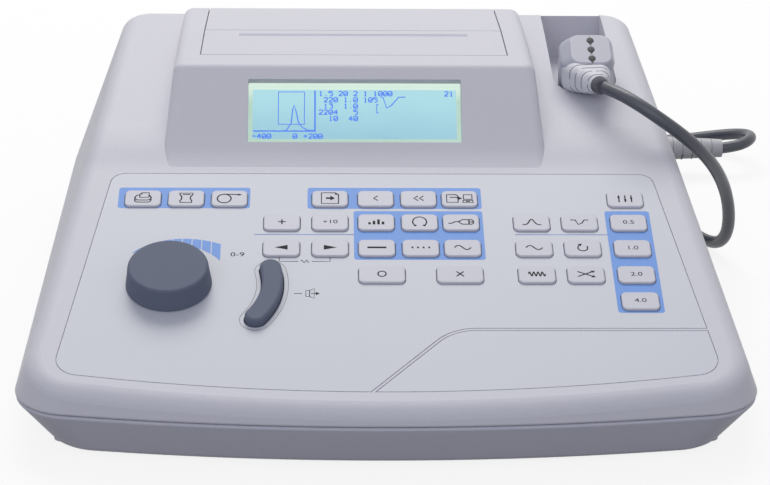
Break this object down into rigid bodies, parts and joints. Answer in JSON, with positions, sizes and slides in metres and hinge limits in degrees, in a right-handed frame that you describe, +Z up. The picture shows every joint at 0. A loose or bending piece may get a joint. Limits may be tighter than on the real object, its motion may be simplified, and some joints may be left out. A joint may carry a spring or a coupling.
{
  "type": "desktop audiometer",
  "caption": "Desktop audiometer with sloped keypad, rotary level knob, tone bar, tilted display, lidded strip printer and a hand-held ear probe parked in its holder on a cable.",
  "frame": {"origin": "middle of the case's plan (feet and shells, cable and probe left out) on the surface it stands on", "axes": "+X to the user's right, +Y from the keypad towards the rear, +Z up; the keypad's front edge faces -Y"},
  "size_m": [0.4419, 0.4918, 0.1373],
  "materials": {
    "dark_abs": "moulded ABS, fine grain, darker grey",
    "case_abs": "moulded ABS, fine grain, light lavender grey",
    "black_rubber": "moulded rubber",
    "zinc_steel": "zinc-plated steel",
    "overlay_film": "printed polyester film",
    "board_green": "glass-fibre circuit board",
    "dark_knob": "moulded ABS, slate grey",
    "encoder_metal": "die-cast and steel",
    "clear_window": "clear acrylic",
    "lcd_glass": "liquid crystal panel, pale cyan",
    "frame_steel": "painted steel sheet",
    "thermal_paper": "white thermal paper",
    "black_abs": "moulded ABS, black",
    "connector_abs": "moulded connector hood, mid grey",
    "cable_sheath": "smooth PVC sheath, dark grey",
    "probe_abs": "moulded ABS, pale lavender grey",
    "probe_nose": "white ABS",
    "key_abs": "moulded ABS key caps, lavender grey"
  },
  "bodies": {
    "base": {"lower_shell": "dark_abs", "upper_shell": "case_abs", "rubber_feet": "black_rubber", "case_screws": "zinc_steel", "keypad_overlay": "overlay_film", "front_plate": "overlay_film", "key_board": "board_green", "rotary_encoder": "encoder_metal", "display_window": "clear_window", "lcd_module": "lcd_glass", "printer_cover": "case_abs", "printer_frame": "frame_steel", "print_head": "frame_steel", "printer_motor": "frame_steel", "main_board": "board_green", "air_pump": "black_abs", "rear_sockets": "black_abs", "probe_plug": "connector_abs", "cable_rear": "cable_sheath", "cable_coil": "cable_sheath", "cable_front": "cable_sheath", "probe_body": "probe_abs", "probe_nose": "probe_nose", "probe_relief": "probe_abs"},
    "lid": {"paper_lid": "case_abs"},
    "knob": {"level_knob": "dark_knob", "knob_shaft": "encoder_metal"},
    "tone_bar": {"tone_bar": "dark_knob"},
    "platen": {"platen_roller": "black_rubber"},
    "paper": {"paper_roll": "thermal_paper"},
    "print_key": {"print_key": "key_abs"},
    "report_key": {"report_key": "key_abs"},
    "paper_feed_key": {"paper_feed_key": "key_abs"},
    "page_key": {"page_key": "key_abs"},
    "recall_back_key": {"recall_back_key": "key_abs"},
    "recall_next_key": {"recall_next_key": "key_abs"},
    "transfer_key": {"transfer_key": "key_abs"},
    "program_key": {"program_key": "key_abs"},
    "memory_key": {"memory_key": "key_abs"},
    "boost_key": {"boost_key": "key_abs"},
    "audiometry_key": {"audiometry_key": "key_abs"},
    "headphone_key": {"headphone_key": "key_abs"},
    "insert_phone_key": {"insert_phone_key": "key_abs"},
    "tympanometry_key": {"tympanometry_key": "key_abs"},
    "reflex_key": {"reflex_key": "key_abs"},
    "tone_500_key": {"tone_500_key": "key_abs"},
    "left_arrow_key": {"left_arrow_key": "key_abs"},
    "right_arrow_key": {"right_arrow_key": "key_abs"},
    "steady_tone_key": {"steady_tone_key": "key_abs"},
    "pulsed_tone_key": {"pulsed_tone_key": "key_abs"},
    "warble_tone_key": {"warble_tone_key": "key_abs"},
    "probe_226_key": {"probe_226_key": "key_abs"},
    "same_ear_key": {"same_ear_key": "key_abs"},
    "tone_1000_key": {"tone_1000_key": "key_abs"},
    "right_ear_key": {"right_ear_key": "key_abs"},
    "left_ear_key": {"left_ear_key": "key_abs"},
    "probe_1000_key": {"probe_1000_key": "key_abs"},
    "other_ear_key": {"other_ear_key": "key_abs"},
    "tone_2000_key": {"tone_2000_key": "key_abs"},
    "tone_4000_key": {"tone_4000_key": "key_abs"}
  },
  "joints": [
    {"name": "lid_hinge", "type": "hinge", "parent": "base", "child": "lid", "pos_m": [-0.015, 0.18099, 0.112], "axis": [-1, 0, 0], "range_deg": [0, 95]},
    {"name": "knob_turn", "type": "hinge", "parent": "base", "child": "knob", "pos_m": [-0.112, -0.0981, 0.06262], "axis": [0, -0.2867, 0.958], "continuous": true},
    {"name": "tone_bar_press", "type": "slide", "parent": "base", "child": "tone_bar", "axis": [0, 0.2867, -0.958], "range_m": [0, 0.0015], "stiffness_N_per_m": 600, "springref_m": -0.001},
    {"name": "platen_turn", "type": "hinge", "parent": "base", "child": "platen", "pos_m": [-0.015, 0.097, 0.11], "axis": [1, 0, 0], "continuous": true},
    {"name": "paper_turn", "type": "hinge", "parent": "base", "child": "paper", "pos_m": [-0.015, 0.151, 0.0913], "axis": [1, 0, 0], "continuous": true},
    {"name": "print_key_press", "type": "slide", "parent": "base", "child": "print_key", "axis": [0, 0.2867, -0.958], "range_m": [0, 0.001], "stiffness_N_per_m": 600, "springref_m": -0.001},
    {"name": "report_key_press", "type": "slide", "parent": "base", "child": "report_key", "axis": [0, 0.2867, -0.958], "range_m": [0, 0.001], "stiffness_N_per_m": 600, "springref_m": -0.001},
    {"name": "paper_feed_key_press", "type": "slide", "parent": "base", "child": "paper_feed_key", "axis": [0, 0.2867, -0.958], "range_m": [0, 0.001], "stiffness_N_per_m": 600, "springref_m": -0.001},
    {"name": "page_key_press", "type": "slide", "parent": "base", "child": "page_key", "axis": [0, 0.2867, -0.958], "range_m": [0, 0.001], "stiffness_N_per_m": 600, "springref_m": -0.001},
    {"name": "recall_back_key_press", "type": "slide", "parent": "base", "child": "recall_back_key", "axis": [0, 0.2867, -0.958], "range_m": [0, 0.001], "stiffness_N_per_m": 600, "springref_m": -0.001},
    {"name": "recall_next_key_press", "type": "slide", "parent": "base", "child": "recall_next_key", "axis": [0, 0.2867, -0.958], "range_m": [0, 0.001], "stiffness_N_per_m": 600, "springref_m": -0.001},
    {"name": "transfer_key_press", "type": "slide", "parent": "base", "child": "transfer_key", "axis": [0, 0.2867, -0.958], "range_m": [0, 0.001], "stiffness_N_per_m": 600, "springref_m": -0.001},
    {"name": "program_key_press", "type": "slide", "parent": "base", "child": "program_key", "axis": [0, 0.2867, -0.958], "range_m": [0, 0.001], "stiffness_N_per_m": 600, "springref_m": -0.001},
    {"name": "memory_key_press", "type": "slide", "parent": "base", "child": "memory_key", "axis": [0, 0.2867, -0.958], "range_m": [0, 0.001], "stiffness_N_per_m": 600, "springref_m": -0.001},
    {"name": "boost_key_press", "type": "slide", "parent": "base", "child": "boost_key", "axis": [0, 0.2867, -0.958], "range_m": [0, 0.001], "stiffness_N_per_m": 600, "springref_m": -0.001},
    {"name": "audiometry_key_press", "type": "slide", "parent": "base", "child": "audiometry_key", "axis": [0, 0.2867, -0.958], "range_m": [0, 0.001], "stiffness_N_per_m": 600, "springref_m": -0.001},
    {"name": "headphone_key_press", "type": "slide", "parent": "base", "child": "headphone_key", "axis": [0, 0.2867, -0.958], "range_m": [0, 0.001], "stiffness_N_per_m": 600, "springref_m": -0.001},
    {"name": "insert_phone_key_press", "type": "slide", "parent": "base", "child": "insert_phone_key", "axis": [0, 0.2867, -0.958], "range_m": [0, 0.001], "stiffness_N_per_m": 600, "springref_m": -0.001},
    {"name": "tympanometry_key_press", "type": "slide", "parent": "base", "child": "tympanometry_key", "axis": [0, 0.2867, -0.958], "range_m": [0, 0.001], "stiffness_N_per_m": 600, "springref_m": -0.001},
    {"name": "reflex_key_press", "type": "slide", "parent": "base", "child": "reflex_key", "axis": [0, 0.2867, -0.958], "range_m": [0, 0.001], "stiffness_N_per_m": 600, "springref_m": -0.001},
    {"name": "tone_500_key_press", "type": "slide", "parent": "base", "child": "tone_500_key", "axis": [0, 0.2867, -0.958], "range_m": [0, 0.001], "stiffness_N_per_m": 600, "springref_m": -0.001},
    {"name": "left_arrow_key_press", "type": "slide", "parent": "base", "child": "left_arrow_key", "axis": [0, 0.2867, -0.958], "range_m": [0, 0.001], "stiffness_N_per_m": 600, "springref_m": -0.001},
    {"name": "right_arrow_key_press", "type": "slide", "parent": "base", "child": "right_arrow_key", "axis": [0, 0.2867, -0.958], "range_m": [0, 0.001], "stiffness_N_per_m": 600, "springref_m": -0.001},
    {"name": "steady_tone_key_press", "type": "slide", "parent": "base", "child": "steady_tone_key", "axis": [0, 0.2867, -0.958], "range_m": [0, 0.001], "stiffness_N_per_m": 600, "springref_m": -0.001},
    {"name": "pulsed_tone_key_press", "type": "slide", "parent": "base", "child": "pulsed_tone_key", "axis": [0, 0.2867, -0.958], "range_m": [0, 0.001], "stiffness_N_per_m": 600, "springref_m": -0.001},
    {"name": "warble_tone_key_press", "type": "slide", "parent": "base", "child": "warble_tone_key", "axis": [0, 0.2867, -0.958], "range_m": [0, 0.001], "stiffness_N_per_m": 600, "springref_m": -0.001},
    {"name": "probe_226_key_press", "type": "slide", "parent": "base", "child": "probe_226_key", "axis": [0, 0.2867, -0.958], "range_m": [0, 0.001], "stiffness_N_per_m": 600, "springref_m": -0.001},
    {"name": "same_ear_key_press", "type": "slide", "parent": "base", "child": "same_ear_key", "axis": [0, 0.2867, -0.958], "range_m": [0, 0.001], "stiffness_N_per_m": 600, "springref_m": -0.001},
    {"name": "tone_1000_key_press", "type": "slide", "parent": "base", "child": "tone_1000_key", "axis": [0, 0.2867, -0.958], "range_m": [0, 0.001], "stiffness_N_per_m": 600, "springref_m": -0.001},
    {"name": "right_ear_key_press", "type": "slide", "parent": "base", "child": "right_ear_key", "axis": [0, 0.2867, -0.958], "range_m": [0, 0.001], "stiffness_N_per_m": 600, "springref_m": -0.001},
    {"name": "left_ear_key_press", "type": "slide", "parent": "base", "child": "left_ear_key", "axis": [0, 0.2867, -0.958], "range_m": [0, 0.001], "stiffness_N_per_m": 600, "springref_m": -0.001},
    {"name": "probe_1000_key_press", "type": "slide", "parent": "base", "child": "probe_1000_key", "axis": [0, 0.2867, -0.958], "range_m": [0, 0.001], "stiffness_N_per_m": 600, "springref_m": -0.001},
    {"name": "other_ear_key_press", "type": "slide", "parent": "base", "child": "other_ear_key", "axis": [0, 0.2867, -0.958], "range_m": [0, 0.001], "stiffness_N_per_m": 600, "springref_m": -0.001},
    {"name": "tone_2000_key_press", "type": "slide", "parent": "base", "child": "tone_2000_key", "axis": [0, 0.2867, -0.958], "range_m": [0, 0.001], "stiffness_N_per_m": 600, "springref_m": -0.001},
    {"name": "tone_4000_key_press", "type": "slide", "parent": "base", "child": "tone_4000_key", "axis": [0, 0.2867, -0.958], "range_m": [0, 0.001], "stiffness_N_per_m": 600, "springref_m": -0.001}
  ],
  "couplings": [
    {"joint": "platen_turn", "follows": "paper_turn", "ratio": -3.2857}
  ]
}
